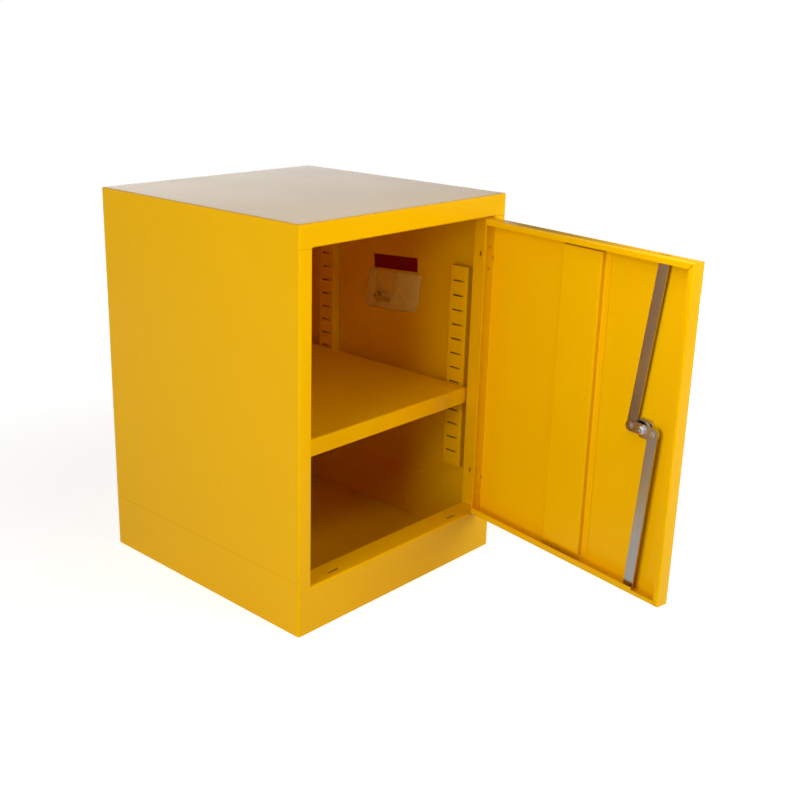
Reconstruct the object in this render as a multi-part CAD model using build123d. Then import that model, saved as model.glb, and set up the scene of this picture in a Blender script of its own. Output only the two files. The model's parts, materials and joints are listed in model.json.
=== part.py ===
# Flammable liquid safety cabinet: folded sheet body on a leak-tight sump, one adjustable shelf,
# one hinged door with a key-locking wing knob that drives two flat locking bars.
# Millimetres, +Z up. The origin is the middle of the base, on the floor. X runs to the right
# as seen from the front, and the door side faces -Y.
from build123d import *
from math import atan2, cos, degrees, hypot, radians
import os

# Body
cabinet_width = 450.0
cabinet_depth = 450.0
cabinet_height = 610.0
sheet = 1.2                  # steel of the body and the door
fold_radius = 3.0            # outside radius of a fold
seam_gap = 0.3               # open line of a butt seam
stile_width = 25.0
header_height = 34.0
plinth_height = 74.0
sump_wall_height = 87.0      # sides and back of the sump, outside
rebate_depth = 42.0          # depth of the door frame
rebate_lip = 10.0
top_skirt = 12.0
back_flange = 18.0
lap = 12.0                   # overlap of a wall inside the sheet below it

# Slotted shelf uprights
upright_width = 38.0
upright_depth = 16.0
upright_foot = 9.0
upright_bottom = 133.0
upright_fold = 2.0
slot_pitch = 25.0
slot_count = 13
slot_end = 25.0
slot_length = 21.0
slot_height = 2.5
front_upright_inset = 75.0    # middle of an upright from the outside of the front
rear_upright_inset = 65.0     # and from the outside of the back

# Shelf and its clips
shelf_slot = 4               # slot that carries the clips, counted from the lowest
shelf_sheet = 1.0
shelf_lip = 26.0
shelf_hem = 12.0
shelf_corner = 2.5
shelf_front_gap = 2.0
shelf_rear_gap = 7.6
shelf_side_gap = 0.8
clip_sheet = 1.5
clip_width = 18.0
clip_ledge = 12.0
clip_drop = 3.0              # top of the ledge below the middle of the slot
clip_hook = 5.0
clip_bend = 2.0
hook_gap = 0.3

# Door
door_gap = 1.5               # round the top, the bottom and the lock side
door_thickness = 23.5
door_fold = 2.5
door_open_angle = 80.5       # how far the door stands open at rest
lock_side_lip = 7.5
top_lip = 9.0
bottom_lip = 11.0
low_lip = 7.5                # bottom lip on the lock side of its step
lip_step = 16.0              # step in the bottom lip, from the lock towards the free side
hinge_side_lip = 5.0
mitre_cut = 0.9
stiffener_x = 4.0
stiffener_width = 76.0
stiffener_depth = 10.0
stiffener_foot = 12.0
stiffener_sheet = 1.0
stiffener_fold = 2.0
stiffener_end_gap = 13.0     # to the inside of the door's edge

# Hinges
hinge_height = 56.0
hinge_inset = 62.5           # middle of a hinge from the end of the door
leaf_thickness = 1.5
leaf_gap = 0.3
leaf_end_gap = 2.0           # leaf edge short of the door's inner face
knuckle_radius = 3.5
knuckle_standoff = 0.5
knuckle_gap = 0.2
hinge_pin_diameter = 4.0
pin_clearance = 0.05
leaf_window_width = 3.0
leaf_window_height = 8.0
leaf_window_gap = 3.0

# Lock
lock_x = -134.0              # middle of the lock, door closed
lock_z = 324.0
fit_gap = 0.05
barrel_diameter = 19.0
barrel_end = 8.0             # end of the barrel behind the door's face
nut_width = 29.0
nut_thickness = 5.6
spindle_diameter = 12.0
spindle_square = 8.0
spindle_short = 0.3          # end of the square inside the cam's face
rose_diameter = 46.0
rose_thickness = 4.0
rose_gap = 0.3
hub_diameter = 34.0
hub_height = 8.0
wing_length = 58.0
wing_width = 13.0
wing_height = 15.0
wing_chamfer = 1.2
plug_diameter = 12.0
plug_boss = 18.0
plug_depth = 14.0
plug_face = 0.6
keyway_length = 8.0
keyway_width = 1.6
keyway_depth = 6.0
cam_thickness = 2.5
cam_width = 16.0
cam_radius = 21.5            # lock middle to a bar pin
stack_gap = 0.3
screw_diameter = 5.0
screw_length = 10.0
screw_head_diameter = 12.0
screw_head_height = 4.0
screw_chamfer = 2.0
screw_socket = 4.0
screw_socket_depth = 2.2
washer_diameter = 15.0
washer_thickness = 1.0

# Locking bars
bar_slot_x = 140.0           # slots in the header, sill and door, each side of the middle
bar_slot_width = 23.0        # wider than the bar, which swings as it slides
bar_slot_depth = 6.0
bar_width = 16.5
bar_thickness = 2.5
bar_corner = 1.5
bar_end_gap = 1.3            # bar tip inside the door's edge, bars drawn in
bar_lean = 2.45              # bar off the middle of the door's slot, bars drawn in
bar_pin_diameter = 6.0
bar_pin_head = 9.0
bar_pin_head_height = 1.0
clip_ring_diameter = 10.0
clip_ring_thickness = 0.8
clip_ring_mouth = 4.0

# Key pouch on the right wall
pouch_y = 3.0
pouch_top = 447.0
pouch_tilt = 3.5             # rear end lower, stuck on by hand
pouch_width = 124.0
pouch_height = 69.0
pouch_bulge = 7.0
pouch_film = 0.5
pouch_rounding = 3.0
flap_length = 101.0
tape_drop = 3.0              # tape edge above the bulge
tape_height = 24.5
tape_thickness = 0.4
tape_overlap = 5.0
key_ring_radius = 11.0
key_ring_across = 33.0       # ring from the middle of the pouch, towards the rear
key_ring_drop = 50.0         # and below its top
key_ring_sides = 20
key_wire = 1.6
key_length = 30.0
key_bow = 14.0
key_bow_sides = 10
key_blade = 6.0
key_thickness = 1.8
key_hole = 4.0
key_angles = {"one": 168.0, "two": 189.0}

# Derived places
half_width = cabinet_width / 2
half_depth = cabinet_depth / 2
opening_half = half_width - stile_width
opening_bottom = plinth_height
opening_top = cabinet_height - header_height
front = -half_depth
rebate_rear = front + rebate_depth
wall_x = half_width - sheet
upright_x = wall_x - upright_depth
upright_y = {"front": front + front_upright_inset, "rear": half_depth - rear_upright_inset}
upright_length = 2 * slot_end + (slot_count - 1) * slot_pitch
first_slot_z = upright_bottom + slot_end
clip_slot_z = first_slot_z + shelf_slot * slot_pitch
ledge_z = clip_slot_z - clip_drop
shelf_top = ledge_z + shelf_lip
shelf_half = upright_x - clip_sheet - shelf_side_gap
shelf_front = rebate_rear + shelf_front_gap
shelf_rear = half_depth - 2 * sheet - shelf_rear_gap
hinge_side = opening_half - 2 * leaf_thickness - leaf_gap
lock_side = -opening_half + door_gap
door_bottom = opening_bottom + door_gap
door_top = opening_top - door_gap
skin_inner = front + sheet
door_inner = front + door_thickness
axis_x = opening_half - leaf_thickness - leaf_gap / 2
axis_y = front - knuckle_radius - knuckle_standoff
hinge_heights = {"upper": door_top - hinge_inset, "lower": door_bottom + hinge_inset}
barrel_inner = front + barrel_end
upper_bar_y = barrel_inner + stack_gap
cam_y = upper_bar_y + bar_thickness + stack_gap
cam_inner = cam_y + cam_thickness
lower_bar_y = cam_inner + stack_gap
screw_seat = cam_inner + washer_thickness
knob_back = front - rose_thickness - rose_gap
hub_face = knob_back - hub_height
wing_face = hub_face - wing_height
bar_pin_x = {"upper": lock_x + cam_radius, "lower": lock_x - cam_radius}
bar_face_y = {"upper": upper_bar_y, "lower": lower_bar_y}
bar_exit = {"upper": (-bar_slot_x - bar_lean, door_top), "lower": (-bar_slot_x + bar_lean, door_bottom)}
full_x = (-half_width, half_width)
opening_x = (-opening_half, opening_half)
front_strip = (front, front + fold_radius)
behind_front = (front + fold_radius, half_depth)
key_ring_y = pouch_y + key_ring_across
key_ring_z = pouch_top - key_ring_drop
tilt = Pos(0, pouch_y, pouch_top) * Rot(-pouch_tilt, 0, 0) * Pos(0, -pouch_y, -pouch_top)


def block(x, y, z):
    """Box between three pairs of limits."""
    middle = Pos((x[0] + x[1]) / 2, (y[0] + y[1]) / 2, (z[0] + z[1]) / 2)
    return middle * Box(x[1] - x[0], y[1] - y[0], z[1] - z[0])


def rounded(solid, axes, radius):
    """Box with its edges along some axes rounded."""
    edges = [edge for axis in axes for edge in solid.edges().filter_by(axis)]
    return fillet(edges, radius)


def inside(x, y, z, thickness):
    """Box one sheet thickness inside another."""
    return block(*[(low + thickness, high - thickness) for low, high in (x, y, z)])


def shell(x, y, z, thickness, radius, folds):
    """Closed hollow box of sheet, rounded at its folds and sharp at its seams."""
    inner = rounded(inside(x, y, z, thickness), folds, radius - thickness)
    return rounded(block(x, y, z), folds, radius) - inner


def folded(plane, points, thickness, bend, side, length):
    """Sheet bent along a line of points, with the metal on one side of it."""
    line = FilletPolyline(*points, radius=bend)
    return extrude(plane * make_face(offset(line, amount=thickness, side=side)), length)


def rod_y(x, z, start, end, diameter):
    """Round bar along Y between two places."""
    return Pos(x, (start + end) / 2, z) * Rot(90, 0, 0) * Cylinder(diameter / 2, end - start)


def plate_y(outline, x, z, start, end):
    """Flat plate across Y, its outline drawn as seen from the front."""
    return extrude(Plane((x, end, z), x_dir=(1, 0, 0), z_dir=(0, -1, 0)) * outline, end - start)


def plate_x(outline, y, z, start, end):
    """Flat plate across X, its outline drawn with Y to the right."""
    return extrude(Plane((start, y, z), x_dir=(0, 1, 0), z_dir=(1, 0, 0)) * outline, end - start)


def rims(shape, axis):
    """Circular edges of a shape, in order along an axis."""
    return shape.edges().filter_by(GeomType.CIRCLE).sort_by(axis)


def body_skin():
    """Whole body in sheet, rounded at its upright and top edges, for the panels to be cut from."""
    limits = (full_x, (front, half_depth), (0, cabinet_height))
    outer = block(*limits)
    edges = outer.edges().filter_by(Axis.Z) + outer.faces().sort_by(Axis.Z)[-1].edges()
    return fillet(edges, fold_radius) - rounded(inside(*limits, sheet), [Axis.Z], fold_radius - sheet)


def bar_slots(bar_y, middle_z):
    """Two slots for the locking bars, in a level flange."""
    middle_y = bar_y + bar_thickness / 2
    cutter = Box(bar_slot_width, bar_slot_depth, 4 * sheet)
    return [Pos(x, middle_y, middle_z) * cutter for x in (-bar_slot_x, bar_slot_x)]


def top_panel(skin):
    """Top sheet with its skirt, the header and the upper side of the door frame."""
    keep = block(full_x, behind_front, (cabinet_height - top_skirt, cabinet_height))
    keep += block(full_x, front_strip, (opening_top, cabinet_height))
    panel = skin & keep
    panel -= block(opening_x, front_strip, (opening_top, opening_top + fold_radius))
    points = [(front, opening_top + fold_radius + sheet), (front, opening_top), (rebate_rear, opening_top),
              (rebate_rear, opening_top + rebate_lip)]
    plane = Plane.YZ.offset(-opening_half)
    panel += folded(plane, points, sheet, fold_radius, Side.LEFT, 2 * opening_half)
    return panel - bar_slots(upper_bar_y, opening_top)


def sump_tray(skin):
    """Leak-tight sump: floor, walls, plinth and the sill of the door frame."""
    keep = block(full_x, behind_front, (0, sump_wall_height))
    keep += block(full_x, front_strip, (0, opening_bottom))
    tray = skin & keep
    tray -= block(opening_x, front_strip, (opening_bottom - fold_radius, opening_bottom))
    points = [(front, opening_bottom - fold_radius - sheet), (front, opening_bottom),
              (rebate_rear, opening_bottom), (rebate_rear, opening_bottom - rebate_lip)]
    plane = Plane.YZ.offset(-opening_half)
    tray += folded(plane, points, sheet, fold_radius, Side.RIGHT, 2 * opening_half)
    return tray - bar_slots(lower_bar_y, opening_bottom)


def left_side_panel(skin):
    """Side sheet with its back flange, the stile and the return that frames the door."""
    wall_z = (sump_wall_height + seam_gap, cabinet_height - top_skirt)
    stile_z = (opening_bottom + seam_gap, opening_top - seam_gap)
    flange_y = (half_depth - fold_radius, half_depth)
    keep = block((-half_width, -half_width + fold_radius), behind_front, wall_z)
    keep += block((-half_width, -half_width + back_flange), flange_y, wall_z)
    keep += block((-half_width, -opening_half - fold_radius), front_strip, stile_z)
    panel = skin & keep
    points = [(-opening_half - fold_radius - sheet, front), (-opening_half, front),
              (-opening_half, rebate_rear), (-opening_half - rebate_lip, rebate_rear)]
    plane = Plane.XY.offset(stile_z[0])
    panel += folded(plane, points, sheet, fold_radius, Side.LEFT, stile_z[1] - stile_z[0])
    lap_y = (front + fold_radius + seam_gap, half_depth - fold_radius - seam_gap)
    return panel + block((-wall_x, -wall_x + sheet), lap_y, (sump_wall_height - lap, wall_z[0] + 2 * sheet))


def right_side_panel(skin):
    """Mirror of the left side, with a window behind each hinge leaf."""
    panel = mirror(left_side_panel(skin), about=Plane.YZ)
    window_y = door_inner - leaf_end_gap + leaf_window_gap + leaf_window_width / 2
    for z in hinge_heights.values():
        panel -= Pos(opening_half, window_y, z) * Box(4 * sheet, leaf_window_width, leaf_window_height)
    return panel


def back_panel():
    """Back sheet, lapped inside the flanges of the sides, the top and the sump."""
    half = half_width - fold_radius - seam_gap
    y = (half_depth - 2 * sheet, half_depth - sheet)
    return block((-half, half), y, (sump_wall_height - lap, cabinet_height - fold_radius - seam_gap))


def upright(side, middle_y):
    """Slotted hat-section upright, its feet welded to a side wall."""
    half = upright_width / 2 - sheet
    inner_x = upright_x + sheet
    points = [(wall_x, middle_y - half), (inner_x, middle_y - half), (inner_x, middle_y + half),
              (wall_x, middle_y + half)]
    piece = folded(Plane.XY.offset(upright_bottom), points, sheet, upright_fold, Side.LEFT, upright_length)
    for end in (-1, 1):
        foot_y = sorted(middle_y + end * (half + reach) for reach in (0, sheet + upright_foot))
        piece += block((wall_x - sheet, wall_x), foot_y, (upright_bottom, upright_bottom + upright_length))
    for index in range(slot_count):
        z = first_slot_z + index * slot_pitch
        piece -= Pos(upright_x, middle_y, z) * Box(4 * sheet, slot_length, slot_height)
    return piece if side > 0 else mirror(piece, about=Plane.YZ)


def shelf_clip(side, middle_y):
    """Bent clip: a hook through the upright's slot and a ledge under the shelf."""
    face_x = upright_x - clip_sheet
    tongue_z = clip_slot_z + clip_sheet / 2
    hook_x = upright_x + sheet + hook_gap + clip_sheet
    y = (middle_y - clip_width / 2, middle_y + clip_width / 2)
    points = [(face_x, ledge_z), (face_x, tongue_z), (hook_x, tongue_z)]
    piece = folded(Plane.XZ.offset(-y[1]), points, clip_sheet, clip_bend, Side.RIGHT, clip_width)
    piece += block((face_x - clip_ledge, face_x + clip_sheet), y, (ledge_z - clip_sheet, ledge_z))
    piece += block((hook_x - clip_sheet, hook_x), y, (tongue_z - clip_hook, tongue_z))
    return piece if side > 0 else mirror(piece, about=Plane.YZ)


def shelf():
    """Shelf tray with turned-down lips on four sides and hems along the front and rear."""
    x = (-shelf_half, shelf_half)
    y = (shelf_front, shelf_rear)
    tray = shell(x, y, (ledge_z - shelf_lip, shelf_top), shelf_sheet, shelf_corner, (Axis.X, Axis.Y))
    tray &= block(x, y, (ledge_z, shelf_top))
    hem_x = (-shelf_half + shelf_hem, shelf_half - shelf_hem)
    hem_z = (ledge_z, ledge_z + shelf_sheet)
    tray += block(hem_x, (shelf_front + shelf_sheet, shelf_front + shelf_hem), hem_z)
    tray += block(hem_x, (shelf_rear - shelf_hem, shelf_rear - shelf_sheet), hem_z)
    return tray


def mitre(corner_x, corner_z, lip_x, lip_z):
    """Thin diagonal cut where two lips of the door meet."""
    across, up = lip_x - corner_x, lip_z - corner_z
    reach = hypot(across, up)
    start, end = door_fold, reach + mitre_cut
    along = (start + end) / 2 / reach
    cut = Box(end - start, 4 * sheet, mitre_cut)
    place = Pos(corner_x + along * across, door_inner, corner_z + along * up)
    return place * Rot(0, -degrees(atan2(up, across)), 0) * cut


def door_skin():
    """Door folded from one sheet: face, four edges and lips, with the slots for the bars."""
    edges_z = (door_bottom, door_top)
    folds = (Axis.X, Axis.Z)
    panel = shell((lock_side, hinge_side), (front, door_inner), edges_z, sheet, door_fold, folds)
    lip_left, lip_right = lock_side + lock_side_lip, hinge_side - hinge_side_lip
    lip_low, lip_high = door_bottom + bottom_lip, door_top - top_lip
    step_z = door_bottom + low_lip
    through = (door_inner - sheet, door_inner + sheet)
    panel -= block((lip_left, lip_right), through, (lip_low, lip_high))
    panel -= block((lip_left, lock_x - lip_step), through, (step_z, lip_high))
    panel -= mitre(lock_side, door_top, lip_left, lip_high)
    panel -= mitre(lock_side, door_bottom, lip_left, step_z)
    panel -= mitre(hinge_side, door_top, lip_right, lip_high)
    panel -= mitre(hinge_side, door_bottom, lip_right, lip_low)
    panel -= bar_slots(upper_bar_y, door_top)[0]
    panel -= bar_slots(lower_bar_y, door_bottom)[0]
    panel -= rod_y(lock_x, lock_z, front - sheet, front + 2 * sheet, barrel_diameter + 2 * fit_gap)
    return panel


def stiffener():
    """Hat-section stiffener welded inside the door's face."""
    half = stiffener_width / 2 - stiffener_sheet
    crown = skin_inner + stiffener_depth - stiffener_sheet
    left, right = stiffener_x - half, stiffener_x + half
    points = [(left - stiffener_foot, skin_inner), (left, skin_inner), (left, crown), (right, crown),
              (right, skin_inner), (right + stiffener_foot, skin_inner)]
    bottom = door_bottom + sheet + stiffener_end_gap
    length = door_top - sheet - stiffener_end_gap - bottom
    return folded(Plane.XY.offset(bottom), points, stiffener_sheet, stiffener_fold, Side.LEFT, length)


def hinge_leaf(middle_z, on_door):
    """Leaf with the middle knuckle on the door, or the two outer knuckles on the frame."""
    bottom, top = middle_z - hinge_height / 2, middle_z + hinge_height / 2
    third = hinge_height / 3
    if on_door:
        x = (hinge_side, hinge_side + leaf_thickness)
        rolls = [(bottom + third + knuckle_gap, top - third - knuckle_gap)]
    else:
        x = (opening_half - leaf_thickness, opening_half)
        rolls = [(bottom, bottom + third), (top - third, top)]
    flat_start = front - knuckle_standoff / 2
    leaf = block(x, (flat_start, door_inner - leaf_end_gap), (bottom, top))
    for low, high in rolls:
        leaf += Pos(axis_x, axis_y, (low + high) / 2) * Cylinder(knuckle_radius, high - low)
        leaf += block(x, (axis_y, flat_start), (low, high))
    bore = Cylinder(hinge_pin_diameter / 2 + pin_clearance, 2 * hinge_height)
    return leaf - Pos(axis_x, axis_y, middle_z) * bore


def hinge_pin(middle_z):
    """Pin, flush with the knuckles at both ends."""
    return Pos(axis_x, axis_y, middle_z) * Cylinder(hinge_pin_diameter / 2, hinge_height)


def lock_rose():
    """Round plate outside the door, behind the knob."""
    plate = rod_y(lock_x, lock_z, front - rose_thickness, front, rose_diameter)
    return plate - rod_y(lock_x, lock_z, knob_back, skin_inner, barrel_diameter + 2 * fit_gap)


def lock_barrel():
    """Threaded barrel that holds the knob's spindle in the door."""
    barrel = rod_y(lock_x, lock_z, front - rose_thickness, barrel_inner, barrel_diameter)
    return barrel - rod_y(lock_x, lock_z, knob_back, cam_y, spindle_diameter + 2 * fit_gap)


def barrel_nut():
    """Hexagon nut that clamps the barrel to the door."""
    corner_radius = nut_width / 2 / cos(radians(30))
    nut = plate_y(RegularPolygon(corner_radius, 6), lock_x, lock_z, skin_inner, skin_inner + nut_thickness)
    return nut - rod_y(lock_x, lock_z, front, barrel_inner, barrel_diameter + 2 * fit_gap)


def wing_knob():
    """Wing knob in one casting with its spindle, bored for the key plug."""
    hub = rod_y(lock_x, lock_z, hub_face, knob_back, hub_diameter)
    outline = SlotOverall(wing_length, wing_width) + Circle(plug_boss / 2)
    grip = plate_y(outline, lock_x, lock_z, wing_face, hub_face)
    grip = chamfer(grip.faces().sort_by(Axis.Y)[0].edges(), wing_chamfer)
    spindle = rod_y(lock_x, lock_z, knob_back, cam_y, spindle_diameter)
    square_end = cam_inner - spindle_short
    square = Rectangle(spindle_square, spindle_square)
    knob = hub + grip + spindle + plate_y(square, lock_x, lock_z, cam_y, square_end)
    knob -= rod_y(lock_x, lock_z, wing_face, wing_face + plug_depth, plug_diameter + 2 * fit_gap)
    hole_end = screw_seat - screw_length - spindle_short
    return knob - rod_y(lock_x, lock_z, hole_end, square_end, screw_diameter + 2 * fit_gap)


def key_plug():
    """Plug of the lock with its keyway."""
    face = wing_face - plug_face
    plug = rod_y(lock_x, lock_z, face, wing_face + plug_depth, plug_diameter)
    keyway = Box(keyway_length, keyway_depth, keyway_width)
    return plug - Pos(lock_x, face + keyway_depth / 2, lock_z) * keyway


def cam_plate():
    """Cam on the spindle's square, with a pin hole at each end."""
    outline = SlotCenterToCenter(2 * cam_radius, cam_width)
    outline -= Rectangle(spindle_square + 2 * fit_gap, spindle_square + 2 * fit_gap)
    for x in bar_pin_x.values():
        outline -= Pos(x - lock_x, 0) * Circle(bar_pin_diameter / 2 + fit_gap)
    return plate_y(outline, lock_x, lock_z, cam_y, cam_inner)


def cam_washer():
    """Washer that holds the cam on the spindle."""
    outline = Circle(washer_diameter / 2) - Circle(screw_diameter / 2 + fit_gap)
    return plate_y(outline, lock_x, lock_z, cam_inner, screw_seat)


def cam_screw():
    """Socket screw in the end of the spindle."""
    top = screw_seat + screw_head_height
    head = rod_y(lock_x, lock_z, screw_seat, top, screw_head_diameter)
    head = chamfer(rims(head, Axis.Y)[-1], screw_chamfer)
    head -= plate_y(RegularPolygon(screw_socket / 2, 6), lock_x, lock_z, top - screw_socket_depth, top)
    return head + rod_y(lock_x, lock_z, screw_seat - screw_length, screw_seat, screw_diameter)


def ring_place(name):
    """Near face of the clip ring on a bar pin."""
    return max(bar_face_y[name] + bar_thickness, cam_inner) + stack_gap


def bar_pin(name):
    """Headed pin through the cam and a bar, its head on the door's side."""
    x = bar_pin_x[name]
    shoulder = min(bar_face_y[name], cam_y) - stack_gap
    pin = rod_y(x, lock_z, shoulder, ring_place(name) + 2 * clip_ring_thickness, bar_pin_diameter)
    return pin + rod_y(x, lock_z, shoulder - bar_pin_head_height, shoulder, bar_pin_head)


def clip_ring(name):
    """Open clip ring on the end of a bar pin."""
    outline = Circle(clip_ring_diameter / 2) - Circle(bar_pin_diameter / 2 + fit_gap)
    outline -= Pos(0, -clip_ring_diameter / 2) * Rectangle(clip_ring_mouth, clip_ring_diameter)
    start = ring_place(name)
    return plate_y(outline, bar_pin_x[name], lock_z, start, start + clip_ring_thickness)


def locking_bar(name):
    """Flat bar from its cam pin to the slot in the door's edge."""
    pin_x, face_y = bar_pin_x[name], bar_face_y[name]
    across, up = bar_exit[name][0] - pin_x, bar_exit[name][1] - lock_z
    length = hypot(across, up) - bar_end_gap
    blade = Pos(0, length / 2) * Rectangle(bar_width, length)
    blade = fillet(blade.vertices().group_by(Axis.Y)[-1], bar_corner)
    outline = blade + Circle(bar_width / 2) - Circle(bar_pin_diameter / 2 + fit_gap)
    outline = Rot(0, 0, -degrees(atan2(across, up))) * outline
    return plate_y(outline, pin_x, lock_z, face_y, face_y + bar_thickness)


def key_pouch():
    """Film pouch with an open inside, and the flap that the tape holds."""
    y = (pouch_y - pouch_width / 2, pouch_y + pouch_width / 2)
    z = (pouch_top - pouch_height, pouch_top)
    folds = [Axis.X]
    pouch = shell((wall_x - pouch_bulge, wall_x), y, z, pouch_film, pouch_rounding, folds)
    flap_y = (pouch_y - flap_length / 2, pouch_y + flap_length / 2)
    flap_top = pouch_top + tape_drop + tape_overlap
    pouch += block((wall_x - pouch_film, wall_x), flap_y, (pouch_top - pouch_rounding, flap_top))
    return tilt * pouch


def pouch_tape():
    """Tape over the pouch's flap, stepped down on to the wall above it."""
    y = (pouch_y - flap_length / 2, pouch_y + flap_length / 2)
    bottom = pouch_top + tape_drop
    step = bottom + tape_overlap
    outer, inner = wall_x - pouch_film - tape_thickness, wall_x - pouch_film
    tape = block((outer, inner), y, (bottom, step + tape_thickness))
    tape += block((outer, wall_x), y, (step, step + tape_thickness))
    return tilt * (tape + block((wall_x - tape_thickness, wall_x), y, (step, bottom + tape_height)))


def key_ring():
    """Flat-wire ring between the two keys."""
    middle_x = wall_x - pouch_bulge / 2
    outline = RegularPolygon(key_ring_radius + key_wire / 2, key_ring_sides)
    outline -= RegularPolygon(key_ring_radius - key_wire / 2, key_ring_sides)
    return plate_x(outline, key_ring_y, key_ring_z, middle_x - key_wire / 2, middle_x + key_wire / 2)


def key(name):
    """Flat key with a many-sided bow, notched blade and hole."""
    blade = Pos(key_length / 2, 0) * Rectangle(key_length, key_blade)
    outline = RegularPolygon(key_bow / 2, key_bow_sides) + blade
    for index in range(3):
        notch = Rectangle(key_blade / 2, key_blade / 3)
        outline -= Pos(key_length - (index + 1) * key_blade, key_blade / 2) * notch
    outline -= Pos(-key_bow / 4, 0) * Circle(key_hole / 2)
    outline = Rot(0, 0, key_angles[name]) * outline
    side = 1 if name == "one" else -1
    middle_x = wall_x - pouch_bulge / 2 + side * (key_wire + key_thickness + 2 * fit_gap) / 2
    bow_y = key_ring_y + key_ring_radius - key_bow / 4
    start = middle_x - key_thickness / 2
    return plate_x(outline, bow_y, key_ring_z, start, start + key_thickness)


def body_pieces():
    """Every piece that stays with the body."""
    skin = body_skin()
    pieces = {"top_panel": top_panel(skin), "sump_tray": sump_tray(skin), "back_panel": back_panel(),
              "left_side_panel": left_side_panel(skin), "right_side_panel": right_side_panel(skin)}
    for side_name, side in (("left", -1), ("right", 1)):
        for row, y in upright_y.items():
            pieces[f"upright_{row}_{side_name}"] = upright(side, y)
            pieces[f"shelf_clip_{row}_{side_name}"] = shelf_clip(side, y)
    for place, z in hinge_heights.items():
        pieces[f"hinge_frame_leaf_{place}"] = hinge_leaf(z, False)
        pieces[f"hinge_pin_{place}"] = hinge_pin(z)
    pieces.update({"shelf": shelf(), "key_pouch": key_pouch(), "pouch_tape": pouch_tape(),
                   "key_ring": key_ring(), "key_one": key("one"), "key_two": key("two")})
    return pieces


def door_pieces():
    """Every piece that swings with the door, the door closed."""
    pieces = {"door_skin": door_skin(), "door_stiffener": stiffener(), "lock_rose": lock_rose(),
              "lock_barrel": lock_barrel(), "barrel_nut": barrel_nut(), "wing_knob": wing_knob(),
              "key_plug": key_plug(), "cam_plate": cam_plate(), "cam_washer": cam_washer(),
              "cam_screw": cam_screw()}
    for place, z in hinge_heights.items():
        pieces[f"hinge_door_leaf_{place}"] = hinge_leaf(z, True)
        pieces[f"bar_pin_{place}"] = bar_pin(place)
        pieces[f"clip_ring_{place}"] = clip_ring(place)
        pieces[f"locking_bar_{place}"] = locking_bar(place)
    return pieces


pieces = body_pieces()
swing = Pos(axis_x, axis_y, 0) * Rot(0, 0, door_open_angle) * Pos(-axis_x, -axis_y, 0)
for name, piece in door_pieces().items():
    pieces[name] = swing * piece

os.makedirs("parts", exist_ok=True)
for name, piece in pieces.items():
    export_step(piece, f"parts/{name}.step")
    box = piece.bounding_box()
    print(name, len(piece.solids()), [round(v, 2) for v in (*box.min, *box.max)])
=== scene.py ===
import json
import math

import bmesh
import bpy
from mathutils import Matrix, Vector, noise


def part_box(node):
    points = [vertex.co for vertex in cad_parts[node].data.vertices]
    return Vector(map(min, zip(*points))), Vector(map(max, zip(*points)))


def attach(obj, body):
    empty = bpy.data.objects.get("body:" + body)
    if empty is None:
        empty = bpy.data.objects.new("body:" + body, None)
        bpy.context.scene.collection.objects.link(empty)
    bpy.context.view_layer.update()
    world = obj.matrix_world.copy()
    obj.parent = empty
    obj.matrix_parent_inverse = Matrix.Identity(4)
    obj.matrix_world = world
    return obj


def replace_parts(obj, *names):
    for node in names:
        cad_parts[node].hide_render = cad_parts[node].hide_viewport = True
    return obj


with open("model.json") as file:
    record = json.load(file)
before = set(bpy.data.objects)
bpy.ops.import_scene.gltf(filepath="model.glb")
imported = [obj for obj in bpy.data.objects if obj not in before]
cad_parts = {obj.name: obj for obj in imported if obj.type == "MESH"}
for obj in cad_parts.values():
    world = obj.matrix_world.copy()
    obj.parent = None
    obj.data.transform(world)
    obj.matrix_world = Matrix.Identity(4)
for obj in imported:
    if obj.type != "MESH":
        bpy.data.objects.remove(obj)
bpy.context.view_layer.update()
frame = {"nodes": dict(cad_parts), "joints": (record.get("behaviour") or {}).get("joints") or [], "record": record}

print("frame loaded with", len(frame["nodes"]), "nodes")

mm = 0.001
joints = {joint["name"]: joint for joint in frame["joints"]}


def toLinear(hexColour):
    channels = [int(hexColour[i:i + 2], 16) / 255 for i in (1, 3, 5)]
    return (*[c / 12.92 if c <= 0.04045 else ((c + 0.055) / 1.055) ** 2.4 for c in channels], 1.0)


def addNode(tree, kind, settings=None, inputs=None, links=None):
    # settings are the node's own, inputs its socket values, links go from (node, output) to an input
    node = tree.nodes.new(kind)
    for name, value in (settings or {}).items():
        setattr(node, name, value)
    for name, value in (inputs or {}).items():
        node.inputs[name].default_value = value
    for name, (source, output) in (links or {}).items():
        tree.links.new(source.outputs[output], node.inputs[name])
    return node


def newMaterial(name):
    material = bpy.data.materials.new(name)
    material.use_nodes = True
    tree = material.node_tree
    tree.nodes.clear()
    return material, tree


def meshPiece(name, mesh, body, material):
    piece = bpy.data.objects.new(name, mesh)
    bpy.context.scene.collection.objects.link(piece)
    mesh.materials.clear()
    mesh.materials.append(material)
    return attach(piece, body)


def patches(tree, size, detail):
    # soft random patches of about this size, fixed to the object
    place = addNode(tree, "ShaderNodeTexCoord")
    pattern = addNode(tree, "ShaderNodeTexNoise", {}, {"Scale": 1 / size, "Detail": detail},
                      {"Vector": (place, "Object")})
    return pattern, "Fac"


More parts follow.
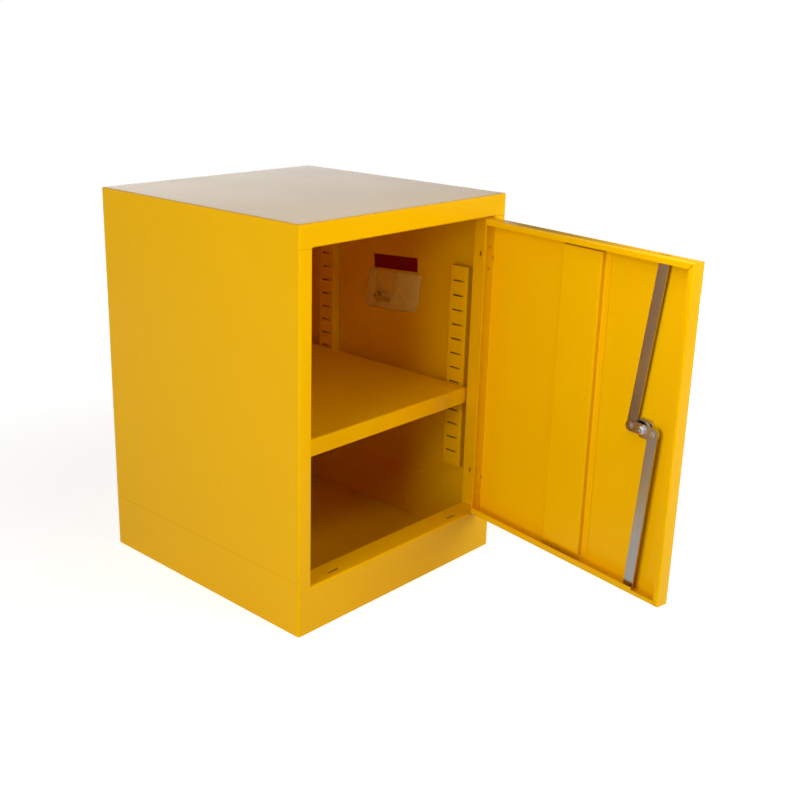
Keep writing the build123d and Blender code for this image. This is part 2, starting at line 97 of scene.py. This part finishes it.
def paint(tree, look, fade, inputs, links=None):
    # the look's two colours and two roughnesses, mixed by the fade, on one shader
    first, second = look["colours"]
    colour = addNode(tree, "ShaderNodeMix", {"data_type": "RGBA"},
                     {"A": toLinear(first), "B": toLinear(second)}, {"Factor": fade})
    low, high = look["roughness"]
    roughness = addNode(tree, "ShaderNodeMapRange", {}, {"To Min": low, "To Max": high}, {"Value": fade})
    shader = addNode(tree, "ShaderNodeBsdfPrincipled", {}, inputs,
                     {"Base Color": (colour, "Result"), "Roughness": (roughness, "Result"), **(links or {})})
    addNode(tree, "ShaderNodeOutputMaterial", {}, {}, {"Surface": (shader, "BSDF")})


# Gloss powder coat, sprayed and baked: a strong even yellow with soft reflections, faintly
# dimpled like orange peel. The real dimples are 2 mm apart, drawn at 7 mm so that they show.
powderCoat = {
    "colours": ("#EDB200", "#F0B703"), "roughness": (0.2, 0.27), "glintColour": "#FFB400", "ior": 1.5,
    "cloudSize": 180 * mm, "dimpleSize": 7 * mm, "dimpleDepth": 0.035 * mm,
}


def makePowderCoat():
    material, tree = newMaterial("glossPowderCoat")
    bump = addNode(tree, "ShaderNodeBump", {}, {"Strength": 1.0, "Distance": powderCoat["dimpleDepth"]},
                   {"Height": patches(tree, powderCoat["dimpleSize"], detail=1.0)})
    paint(tree, powderCoat, patches(tree, powderCoat["cloudSize"], detail=2.0),
          {"IOR": powderCoat["ior"], "Specular Tint": toLinear(powderCoat["glintColour"])},
          {"Normal": (bump, "Normal")})
    return material


# Bright zinc plate on rolled strip: pale grey, with fine streaks along the strip's length.
# Real streaks are 0.1 mm wide, drawn at 1.5 mm so that they show.
zincPlate = {"colours": ("#C0C1C3", "#ABACAD"), "roughness": (0.2, 0.28), "streakWidth": 1.5 * mm,
             "streakLength": 120 * mm}


def makeZincPlate():
    material, tree = newMaterial("rolledZincPlate")
    place = addNode(tree, "ShaderNodeTexCoord")
    stretch = addNode(tree, "ShaderNodeMapping", {},
                      {"Scale": (1 / zincPlate["streakWidth"],) * 2 + (1 / zincPlate["streakLength"],)},
                      {"Vector": (place, "Object")})
    streaks = addNode(tree, "ShaderNodeTexNoise", {}, {"Scale": 1.0, "Detail": 3.0},
                      {"Vector": (stretch, "Vector")})
    paint(tree, zincPlate, (streaks, "Fac"), {"Metallic": 1.0})
    return material


# Small plated and cast parts: a metal with a little cloudiness in its shine.
# Chrome is a mirror with a cold tone, die-cast zinc is grey and satin, nickel brass is warm.
smallMetals = {
    "chromePlate": {"colours": ("#DADADC", "#CBCBCE"), "roughness": (0.1, 0.22), "grain": 6 * mm},
    "dieCastZinc": {"colours": ("#9B9A98", "#8B8A88"), "roughness": (0.28, 0.4), "grain": 4 * mm},
    "nickelBrass": {"colours": ("#C9B071", "#A88F55"), "roughness": (0.25, 0.4), "grain": 3 * mm},
}


def makeSmallMetal(name):
    look = smallMetals[name]
    material, tree = newMaterial(name)
    paint(tree, look, patches(tree, look["grain"], detail=3.0), {"Metallic": 1.0})
    return material


# Nearly dull dark metal, whose dark brown is painted shade: the pip of a spot weld, coloured as the shade in the
# weld dimple's hollow, and the broken steel stem of a rivet, brown-grey, darkened as the shade in the rivet's
# hole.
dullMetals = {
    "weldPipPaintedShade": {"colours": ("#5A2A08", "#2E1404"), "roughness": (0.5, 0.7), "ior": 1.5,
                         "grain": 1.2 * mm},
    "steelStemPaintedShade": {"colours": ("#6E4A1C", "#3C280E"), "roughness": (0.45, 0.6), "ior": 1.5,
                        "grain": 0.8 * mm},
}


def makeDullMetal(name):
    look = dullMetals[name]
    material, tree = newMaterial(name)
    paint(tree, look, patches(tree, look["grain"], detail=3.0),
          {"IOR": look["ior"], "Specular Tint": toLinear(look["colours"][0])})
    return material


# Vinyl tape, pressed on by hand: dark maroon with a soft shine and a faint pull in its surface.
vinylTape = {"colours": ("#74060F", "#8E0A1E"), "roughness": (0.34, 0.46), "glintColour": "#A01020",
             "ior": 1.45, "pull": 9 * mm}


def makeVinylTape():
    material, tree = newMaterial("maroonVinylTape")
    paint(tree, vinylTape, patches(tree, vinylTape["pull"], detail=2.0),
          {"IOR": vinylTape["ior"], "Specular Tint": toLinear(vinylTape["glintColour"])})
    return material


# Low-density polythene film: milky and half clear, cloudier where it is folded or stands off
# what is behind it. How milky each place is comes with the mesh, as the attribute named milk;
# along the sealed edge the extra milk is partly a painted highlight.
# Polythene's own refraction is about 1.5; it is set higher to bring the bag nearer the photo's brightness.
polyFilm = {"colour": "#FFE27A", "roughness": (0.3, 0.45), "ior": 1.9, "mottle": 14 * mm,
            "mottleStrength": 0.12}


def makePolyFilm():
    material, tree = newMaterial("milkyPolytheneFilm")
    cloudy = patches(tree, polyFilm["mottle"], detail=3.0)
    strength = polyFilm["mottleStrength"]
    mottle = addNode(tree, "ShaderNodeMapRange", {}, {"To Min": -strength, "To Max": strength},
                     {"Value": cloudy})
    milk = addNode(tree, "ShaderNodeAttribute", {"attribute_name": "milk"})
    haze = addNode(tree, "ShaderNodeMath", {"operation": "ADD", "use_clamp": True}, {},
                   {0: (milk, "Fac"), 1: (mottle, "Result")})
    low, high = polyFilm["roughness"]
    roughness = addNode(tree, "ShaderNodeMapRange", {}, {"To Min": low, "To Max": high}, {"Value": cloudy})
    colour = toLinear(polyFilm["colour"])
    shader = addNode(tree, "ShaderNodeBsdfPrincipled", {},
                     {"Base Color": colour, "IOR": polyFilm["ior"], "Specular Tint": colour},
                     {"Alpha": (haze, "Value"), "Roughness": (roughness, "Result")})
    addNode(tree, "ShaderNodeOutputMaterial", {}, {}, {"Surface": (shader, "BSDF")})
    return material


finishes = {
    "weld_pip_painted_shade": makeDullMetal("weldPipPaintedShade"), "steel_stem_painted_shade": makeDullMetal("steelStemPaintedShade"),
    "yellow_powder_coat": makePowderCoat(), "zinc_plate": makeZincPlate(),
    "chrome_plate": makeSmallMetal("chromePlate"), "cast_knob": makeSmallMetal("dieCastZinc"),
    "clear_film": makePolyFilm(), "red_tape": makeVinylTape(), "key_brass": makeSmallMetal("nickelBrass"),
}
for part in frame["record"]["subparts"]:
    node = frame["nodes"][part["node"]]
    node.data.materials.clear()
    node.data.materials.append(finishes[part["material_slot"]])
print("materials on", len(frame["nodes"]), "nodes")


def makeRingHead(tree, sizes, width, height, hole):
    # a flat ring, its axis along Z, from its outer width, height and hole
    wire = addNode(tree, "ShaderNodeMath", {"operation": "SUBTRACT"}, {},
                   {0: (sizes, width), 1: (sizes, hole)})
    wireRadius = addNode(tree, "ShaderNodeMath", {"operation": "MULTIPLY"}, {1: 0.25}, {0: (wire, "Value")})
    total = addNode(tree, "ShaderNodeMath", {"operation": "ADD"}, {}, {0: (sizes, width), 1: (sizes, hole)})
    ringRadius = addNode(tree, "ShaderNodeMath", {"operation": "MULTIPLY"}, {1: 0.25}, {0: (total, "Value")})
    path = addNode(tree, "GeometryNodeCurvePrimitiveCircle", {}, {"Resolution": 20},
                   {"Radius": (ringRadius, "Value")})
    profile = addNode(tree, "GeometryNodeCurvePrimitiveCircle", {}, {"Resolution": 10},
                      {"Radius": (wireRadius, "Value")})
    ring = addNode(tree, "GeometryNodeCurveToMesh", {}, {},
                   {"Curve": (path, "Curve"), "Profile Curve": (profile, "Curve")})
    squash = addNode(tree, "ShaderNodeMath", {"operation": "DIVIDE"}, {},
                     {0: (sizes, height), 1: (wireRadius, "Value")})
    squashed = addNode(tree, "ShaderNodeCombineXYZ", {}, {"X": 1.0, "Y": 1.0}, {"Z": (squash, "Value")})
    return addNode(tree, "GeometryNodeTransform", {}, {},
                   {"Geometry": (ring, "Mesh"), "Scale": (squashed, "Vector")})


def makeDome(tree, sizes, width, height):
    # a low dome, its axis along Z
    ball = addNode(tree, "GeometryNodeMeshUVSphere", {}, {"Segments": 14, "Rings": 8, "Radius": 0.5})
    doubled = addNode(tree, "ShaderNodeMath", {"operation": "MULTIPLY"}, {1: 2.0}, {0: (sizes, height)})
    flat = addNode(tree, "ShaderNodeCombineXYZ", {}, {},
                   {"X": (sizes, width), "Y": (sizes, width), "Z": (doubled, "Value")})
    return addNode(tree, "GeometryNodeTransform", {}, {},
                   {"Geometry": (ball, "Mesh"), "Scale": (flat, "Vector")})


def growMesh(name, makeShape, sizeNames, finish, pointsOf, inputs, turn):
    # one plain mesh: the shape on every point, made real, smooth and painted
    tree = bpy.data.node_groups.new(name, "GeometryNodeTree")
    tree.interface.new_socket("Geometry", in_out="OUTPUT", socket_type="NodeSocketGeometry")
    for socket in inputs:
        tree.interface.new_socket(socket, in_out="INPUT", socket_type="NodeSocketFloat")
    sizes = addNode(tree, "NodeGroupInput")
    shape = makeShape(tree, sizes, *sizeNames)
    points = pointsOf(tree, sizes)
    placed = addNode(tree, "GeometryNodeInstanceOnPoints", {}, {"Rotation": turn},
                     {"Points": (points, "Geometry"), "Instance": (shape, "Geometry")})
    real = addNode(tree, "GeometryNodeRealizeInstances", {}, {}, {"Geometry": (placed, "Instances")})
    smooth = addNode(tree, "GeometryNodeSetShadeSmooth", {}, {}, {"Geometry": (real, "Geometry")})
    painted = addNode(tree, "GeometryNodeSetMaterial", {}, {"Material": finishes[finish]},
                      {"Geometry": (smooth, "Geometry")})
    addNode(tree, "NodeGroupOutput", {}, {}, {"Geometry": (painted, "Geometry")})

    seed = bpy.data.objects.new("seed", bpy.data.meshes.new("seed"))
    bpy.context.scene.collection.objects.link(seed)
    modifier = seed.modifiers.new("tree", "NODES")
    modifier.node_group = tree
    for socket in tree.interface.items_tree:
        if socket.in_out == "INPUT":
            modifier[socket.identifier] = inputs[socket.name]
    mesh = bpy.data.meshes.new_from_object(seed.evaluated_get(bpy.context.evaluated_depsgraph_get()))
    seed.modifiers.remove(modifier)
    bpy.data.objects.remove(seed)
    return mesh


def growPieces(kinds, pointsOf, inputs, place, body, turn=(0, 0, 0)):
    # a piece of each kind, all on the same points: its name, shape, the inputs that size it, and finish
    for name, makeShape, sizeNames, finish in kinds:
        mesh = growMesh(name, makeShape, sizeNames, finish, pointsOf, inputs, turn)
        mesh.transform(place)
        meshPiece(name, mesh, body, finishes[finish])


# Blind rivets that hold each hinge leaf, on the inside of the door's edge: painted ring-shaped heads
# with the broken steel stem in the middle, coloured dark brown as painted shade of the rivet's hole.
# Three in a staggered row at each hinge.
rivets = {
    "inputs": {"headWidth": 6.4 * mm, "headHeight": 1.5 * mm, "holeWidth": 2.6 * mm, "stemHeight": 0.7 * mm,
               "spread": 17 * mm, "rowStep": 7 * mm},
    # with the door closed: its face and the inside of its edge from the hinge pin, the row from that face
    "faceBehindPin": 4 * mm, "edgeInside": 2.85 * mm, "fromFace": 12 * mm,
}


def rivetPoints(tree, sizes):
    start = addNode(tree, "ShaderNodeMath", {"operation": "MULTIPLY"}, {1: -1.0}, {0: (sizes, "spread")})
    startPoint = addNode(tree, "ShaderNodeCombineXYZ", {}, {}, {"Z": (start, "Value")})
    step = addNode(tree, "ShaderNodeCombineXYZ", {}, {}, {"Z": (sizes, "spread")})
    row = addNode(tree, "GeometryNodeMeshLine", {"mode": "OFFSET"}, {"Count": 3},
                  {"Start Location": (startPoint, "Vector"), "Offset": (step, "Vector")})
    index = addNode(tree, "GeometryNodeInputIndex")
    middle = addNode(tree, "FunctionNodeCompare", {"data_type": "INT", "operation": "EQUAL"}, {"B": 1},
                     {"A": (index, "Index")})
    aside = addNode(tree, "ShaderNodeMath", {"operation": "MULTIPLY"}, {1: -1.0}, {0: (sizes, "rowStep")})
    asideStep = addNode(tree, "ShaderNodeCombineXYZ", {}, {}, {"Y": (aside, "Value")})
    staggered = addNode(tree, "GeometryNodeSetPosition", {}, {}, {
        "Geometry": (row, "Mesh"), "Selection": (middle, "Result"), "Offset": (asideStep, "Vector")})
    rise = addNode(tree, "ShaderNodeCombineXYZ", {}, {}, {"Z": (sizes, "levelGap")})
    levels = addNode(tree, "GeometryNodeMeshLine", {"mode": "OFFSET"}, {"Count": 2},
                     {"Offset": (rise, "Vector")})
    rows = addNode(tree, "GeometryNodeInstanceOnPoints", {}, {},
                   {"Points": (levels, "Mesh"), "Instance": (staggered, "Geometry")})
    return addNode(tree, "GeometryNodeRealizeInstances", {}, {}, {"Geometry": (rows, "Instances")})


leafLow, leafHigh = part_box("hinge_door_leaf_lower")
rivets["inputs"]["levelGap"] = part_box("hinge_door_leaf_upper")[0].z - leafLow.z
# where a point of the closed door stands with the door as it is at rest
hinge = Vector(joints["door_swing"]["pos_m"])
openAngle = -math.radians(joints["door_swing"]["range_deg"][0])
doorPlace = Matrix.Translation(hinge) @ Matrix.Rotation(openAngle, 4, "Z") @ Matrix.Translation(-hinge)
rivetPlace = doorPlace @ Matrix.Translation((
    hinge.x - rivets["edgeInside"], hinge.y + rivets["faceBehindPin"] + rivets["fromFace"],
    (leafLow.z + leafHigh.z) / 2))
growPieces([
    ("rivetHeads", makeRingHead, ("headWidth", "headHeight", "holeWidth"), "yellow_powder_coat"),
    ("rivetStems", makeDome, ("holeWidth", "stemHeight"), "steel_stem_painted_shade"),
], rivetPoints, rivets["inputs"], rivetPlace, "door", turn=(0, math.pi / 2, 0))
print("rivets made")


# Spot-weld dimples on the shelf: a low raised rim round a dark brown pip, which is painted shade of the dimple's
# hollow, in two grids over one another
weldDimples = {
    "inputs": {"rimWidth": 9 * mm, "rimHeight": 0.7 * mm, "pipWidth": 3.4 * mm, "pipHeight": 0.5 * mm,
               "columnGap": 150 * mm, "rowGap": 74 * mm},
    "toRear": 4 * mm,  # from the middle of the shelf
}


def dimplePoints(tree, sizes):
    # the outer grid is four row gaps deep and two column gaps wide, the inner one two by one
    outerRows = addNode(tree, "ShaderNodeMath", {"operation": "MULTIPLY"}, {1: 4.0}, {0: (sizes, "rowGap")})
    outerColumns = addNode(tree, "ShaderNodeMath", {"operation": "MULTIPLY"}, {1: 2.0},
                           {0: (sizes, "columnGap")})
    innerRows = addNode(tree, "ShaderNodeMath", {"operation": "MULTIPLY"}, {1: 2.0}, {0: (sizes, "rowGap")})
    outer = addNode(tree, "GeometryNodeMeshGrid", {}, {"Vertices X": 3, "Vertices Y": 2},
                    {"Size X": (outerColumns, "Value"), "Size Y": (outerRows, "Value")})
    inner = addNode(tree, "GeometryNodeMeshGrid", {}, {"Vertices X": 2, "Vertices Y": 3},
                    {"Size X": (sizes, "columnGap"), "Size Y": (innerRows, "Value")})
    both = addNode(tree, "GeometryNodeJoinGeometry")
    tree.links.new(outer.outputs["Mesh"], both.inputs["Geometry"])
    tree.links.new(inner.outputs["Mesh"], both.inputs["Geometry"])
    return both


shelfLow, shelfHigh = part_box("shelf")
dimplePlace = Matrix.Translation(((shelfLow.x + shelfHigh.x) / 2,
                                  (shelfLow.y + shelfHigh.y) / 2 + weldDimples["toRear"], shelfHigh.z))
growPieces([
    ("dimpleRims", makeRingHead, ("rimWidth", "rimHeight", "pipWidth"), "yellow_powder_coat"),
    ("dimplePips", makeDome, ("pipWidth", "pipHeight"), "weld_pip_painted_shade"),
], dimplePoints, weldDimples["inputs"], dimplePlace, "shelf_tray")
print("weld dimples made")


# Key bag: two films of thin polythene sealed round the edges, hung by its flap from the tape
bag = {
    "width": 124 * mm, "height": 69 * mm, "across": 72, "down": 44,  # in this many faces each way
    "corner": 7 * mm, "sag": 2.2 * mm, "wave": 1.2 * mm, "waves": (6, 2),  # bottom edge
    # how far the front film stands off the rear one: fullest, least, and in broad and fine creases
    "bulge": 4.6 * mm, "bulgeSpan": (0.92, 0.04), "bulgePower": 0.6, "thinnest": 0.15 * mm,
    "crease": 0.9 * mm, "creaseSize": 17 * mm, "creaseStretch": 0.6,
    "fineCrease": 0.25 * mm, "fineSize": (6 * mm, 9 * mm),
    "swing": 12 * mm, "tilt": 3.5, "offWall": 0.25 * mm,  # the hang: foot to the rear, degrees, off the wall
    # how milky: in all, in the fold near the rear, in the clearer patch, and along the sealed edge, where it is
    # partly the seal's own cloudiness and partly a painted highlight
    "milk": 0.55, "foldMilk": 0.62, "clearMilk": 0.24, "sealMilkAndHighlight": 0.7,
    # where these start and end, as shares of the bag, and for the seal in steps of a sixty-second of it
    "foldAt": (0.82, 0.85), "patchFront": (0.4, 0.5), "patchRear": (0.78, 0.84), "patchFoot": (0.2, 0.45),
    "sealSteps": 62, "sealAt": (0.8, 1.8),
}


def ease(value, start, end):
    # 0 before start, 1 after end and smooth between them
    share = min(max((value - start) / (end - start), 0), 1)
    return share * share * (3 - 2 * share)


def bagMilk(u, v):
    # u runs from the front end to the rear end, v from the bottom to the top
    fold = ease(u, *bag["foldAt"])
    patch = ease(u, *bag["patchFront"]) * (1 - ease(u, *bag["patchRear"])) * ease(v, *bag["patchFoot"])
    # the sealed edge is milkier: partly the seal's own cloudiness, partly a painted highlight
    seal = 1 - ease(min(u, 1 - u, v) * bag["sealSteps"], *bag["sealAt"])
    milk = bag["milk"] + (bag["clearMilk"] - bag["milk"]) * patch
    milk += (bag["foldMilk"] - milk) * fold
    return milk + (bag["sealMilkAndHighlight"] - milk) * seal


def unevenness(across, up, pattern):
    # smooth noise over the bag, a different one for each pattern number
    return noise.noise(Vector((across, pattern, up)))


def bagPoint(u, v, bulging):
    y = (u - 0.5) * bag["width"]
    z = v * bag["height"]
    # lower corners are rounded and the bottom edge sags between them
    side = min(max(abs(y) - (bag["width"] / 2 - bag["corner"]), 0) / bag["corner"], 1)
    lift = bag["corner"] * (1 - math.sqrt(1 - side * side)) * max(0, 1 - v * 3)
    droop = bag["sag"] * math.sin(math.pi * u) * (1 - v) ** 2
    wavesAcross, wavesUp = bag["waves"]
    wave = unevenness(u * wavesAcross, v * wavesUp, pattern=3.1) * bag["wave"] * (1 - v)
    # the front film is fullest in the middle and flat at the seals
    span, start = bag["bulgeSpan"]
    fullness = (1 - abs(2 * u - 1) ** 3) * math.sin(math.pi * min(v * span + start, 1)) ** bag["bulgePower"]
    broad = unevenness(y / bag["creaseSize"], z / bag["creaseSize"] * bag["creaseStretch"], pattern=7.7)
    fineAcross, fineUp = bag["fineSize"]
    fine = unevenness(y / fineAcross, z / fineUp, pattern=1.3)
    creases = (bag["crease"] * broad + bag["fineCrease"] * fine) * min(fullness * 2, 1)
    x = -max(bag["bulge"] * fullness + creases, bag["thinnest"]) if bulging else 0
    return x, y + bag["swing"] * (1 - v), z + lift - droop + wave


def makeBag():
    low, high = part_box("key_pouch")
    bottom = low.z + math.sin(math.radians(bag["tilt"])) * bag["width"] / 2
    middle = (high.x - bag["offWall"], (low.y + high.y) / 2, bottom)
    mesh = bmesh.new()
    milk = mesh.verts.layers.float.new("milk")
    films = []
    for front in (True, False):
        rows = []
        for j in range(bag["down"] + 1):
            row = []
            for i in range(bag["across"] + 1):
                onEdge = i in (0, bag["across"]) or j in (0, bag["down"])
                if films and onEdge:
                    row.append(films[0][j][i])
                    continue
                u, v = i / bag["across"], j / bag["down"]
                row.append(mesh.verts.new(bagPoint(u, v, front and not onEdge)))
                row[-1][milk] = bagMilk(u, v)
            rows.append(row)
        films.append(rows)
        for j in range(bag["down"]):
            for i in range(bag["across"]):
                corners = [rows[j][i], rows[j][i + 1], rows[j + 1][i + 1], rows[j + 1][i]]
                mesh.faces.new(corners if not front else corners[::-1])
    data = bpy.data.meshes.new("keyBag")
    mesh.to_mesh(data)
    mesh.free()
    data.transform(Matrix.Translation(middle) @ Matrix.Rotation(-math.radians(bag["tilt"]), 4, "X"))
    for face in data.polygons:
        face.use_smooth = True
    return data


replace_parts(meshPiece("keyBag", makeBag(), "cabinet", finishes["clear_film"]), "key_pouch")
print("key bag made")


# Studio: a pale floor, whitest away from the object, with soft lamps in front and to the left and two low
# ones that light the right side and the back but not the top. Behind the object stand a graded white screen
# that the top sheet mirrors and, at its right end, a dark card for the door's top edge.
studio = {
    "floorColour": "#C8C8C8", "floorGlow": (0.72, 1.0), "glowRadius": (0.5, 2.2), "floorSize": 60.0,
    "ambient": 0.01, "background": 1.0,
    "lamps": {
        "front": {"place": (0.5, -1.9, 0.7), "size": (1.6, 0.9), "power": 22},
        "left": {"place": (-2.4, -0.55, 0.6), "size": (1.3, 0.9), "power": 25},
        "leftHigh": {"place": (-2.2, -0.6, 1.4), "size": (1.2, 0.9), "power": 17},
        "down": {"place": (0.0, -0.62, 0.78), "size": (0.8, 0.2), "power": 1.9, "aim": (0.0, -0.6, 0.0)},
        "right": {"place": (2.3, 0.3, 0.3), "size": (1.3, 0.56), "power": 18, "aim": (0.0, 0.1, 0.3)},
        "rear": {"place": (-0.3, 2.3, 0.3), "size": (1.3, 0.56), "power": 18, "aim": (0.0, 0.0, 0.3)},
    },
    "lampAim": (0.0, -0.2, 0.35),
    "floorShine": 0.3,  # share of the floor's glow that glossy surfaces see
    "screens": {
        "whiteScreen": {"place": (1.620, 1.771, 0.83), "size": (1.57, 0.5), "glow": (2.1, 1.2)},
        "darkCard": {"place": (2.548, 0.875, 1.05), "size": (0.95, 1.1), "glow": (0.03, 0.03)},
    },
    "screenFacing": (-0.695, -0.719, 0.0),
}


def lookAt(place, aim):
    turn = (Vector(aim) - Vector(place)).to_track_quat("-Z", "Y")
    return Matrix.Translation(place) @ turn.to_matrix().to_4x4()


def flatSheet(name, wide, tall, material):
    mesh = bpy.data.meshes.new(name)
    x, y = wide / 2, tall / 2
    mesh.from_pydata([(-x, -y, 0), (x, -y, 0), (x, y, 0), (-x, y, 0)], [], [(0, 1, 2, 3)])
    mesh.materials.append(material)
    sheet = bpy.data.objects.new(name, mesh)
    bpy.context.scene.collection.objects.link(sheet)
    return sheet


material, tree = newMaterial("paleFloor")
path = addNode(tree, "ShaderNodeLightPath")
place = addNode(tree, "ShaderNodeTexCoord")
radius = addNode(tree, "ShaderNodeVectorMath", {"operation": "LENGTH"}, {}, {"Vector": (place, "Object")})
near, far = studio["glowRadius"]
low, high = studio["floorGlow"]
level = addNode(tree, "ShaderNodeMapRange", {},
                {"From Min": near, "From Max": far, "To Min": low, "To Max": high},
                {"Value": (radius, "Value")})
shineShare = addNode(tree, "ShaderNodeMath", {"operation": "MULTIPLY"}, {1: studio["floorShine"]},
                     {0: (path, "Is Glossy Ray")})
direct = addNode(tree, "ShaderNodeMath", {"operation": "MAXIMUM"}, {},
                 {0: (path, "Is Camera Ray"), 1: (path, "Is Transmission Ray")})
seen = addNode(tree, "ShaderNodeMath", {"operation": "MAXIMUM"}, {},
               {0: (direct, "Value"), 1: (shineShare, "Value")})
glow = addNode(tree, "ShaderNodeMath", {"operation": "MULTIPLY"}, {},
               {0: (seen, "Value"), 1: (level, "Result")})
shine = addNode(tree, "ShaderNodeEmission", {}, {"Color": (1, 1, 1, 1)}, {"Strength": (glow, "Value")})
matt = addNode(tree, "ShaderNodeBsdfDiffuse", {}, {"Color": toLinear(studio["floorColour"])})
both = addNode(tree, "ShaderNodeAddShader", {}, {}, {0: (matt, "BSDF"), 1: (shine, "Emission")})
addNode(tree, "ShaderNodeOutputMaterial", {}, {}, {"Surface": (both, "Shader")})
stagePieces = [flatSheet("floor", studio["floorSize"], studio["floorSize"], material)]

for name, settings in studio["screens"].items():
    wide, tall = settings["size"]
    left, right = settings["glow"]
    material, tree = newMaterial(name)
    place = addNode(tree, "ShaderNodeTexCoord")
    across = addNode(tree, "ShaderNodeSeparateXYZ", {}, {}, {"Vector": (place, "Object")})
    level = addNode(tree, "ShaderNodeMapRange", {},
                    {"From Min": wide / 2, "From Max": -wide / 2, "To Min": left, "To Max": right},
                    {"Value": (across, "X")})
    shine = addNode(tree, "ShaderNodeEmission", {}, {"Color": (1, 1, 1, 1)}, {"Strength": (level, "Result")})
    addNode(tree, "ShaderNodeOutputMaterial", {}, {}, {"Surface": (shine, "Emission")})
    screen = flatSheet(name, wide, tall, material)
    aim = Vector(settings["place"]) + Vector(studio["screenFacing"])
    screen.matrix_world = lookAt(settings["place"], aim)
    screen.visible_camera = False
    screen.visible_diffuse = False
    stagePieces.append(screen)

for name, lamp in studio["lamps"].items():
    light = bpy.data.lights.new(name, "AREA")
    light.shape = "RECTANGLE"
    light.size, light.size_y = lamp["size"]
    light.energy = lamp["power"]
    lightObject = bpy.data.objects.new(name, light)
    lightObject.matrix_world = lookAt(lamp["place"], lamp.get("aim", studio["lampAim"]))
    lightObject.visible_camera = False
    lightObject.visible_glossy = False  # the gloss paint would mirror the lamps as white patches
    bpy.context.scene.collection.objects.link(lightObject)

world = bpy.data.worlds.new("studio")
world.use_nodes = True
tree = world.node_tree
tree.nodes.clear()
path = addNode(tree, "ShaderNodeLightPath")
mirrored = addNode(tree, "ShaderNodeMath", {"operation": "MAXIMUM"}, {},
                   {0: (path, "Is Camera Ray"), 1: (path, "Is Glossy Ray")})
seen = addNode(tree, "ShaderNodeMath", {"operation": "MAXIMUM"}, {},
               {0: (mirrored, "Value"), 1: (path, "Is Transmission Ray")})
strength = addNode(tree, "ShaderNodeMapRange", {},
                   {"To Min": studio["ambient"], "To Max": studio["background"]}, {"Value": (seen, "Value")})
sky = addNode(tree, "ShaderNodeBackground", {}, {"Color": (1, 1, 1, 1)}, {"Strength": (strength, "Result")})
addNode(tree, "ShaderNodeOutputWorld", {}, {}, {"Surface": (sky, "Background")})
bpy.context.scene.world = world
bpy.context.scene.view_settings.view_transform = "Standard"
print("studio lit")


# Camera at the photograph's viewpoint; angles in degrees, yaw from +Y towards +X
view = {"place": (-1.2330, -1.2911, 0.8656), "yaw": 46.715, "pitch": -17.770, "roll": 1.101, "lens": 50.854,
        "sensor": 36.0, "shift": (0.0482, -0.0222)}
camera = bpy.data.cameras.new("camera")
camera.sensor_width = view["sensor"]
camera.lens = view["lens"]
camera.shift_x, camera.shift_y = view["shift"]
cameraObject = bpy.data.objects.new("camera", camera)
turn = (Matrix.Rotation(-math.radians(view["yaw"]), 4, "Z")
        @ Matrix.Rotation(math.radians(90 + view["pitch"]), 4, "X"))
roll = Matrix.Rotation(math.radians(view["roll"]), 4, "Z")
cameraObject.matrix_world = Matrix.Translation(view["place"]) @ turn @ roll
bpy.context.scene.collection.objects.link(cameraObject)
bpy.context.scene.camera = cameraObject
print("camera set")
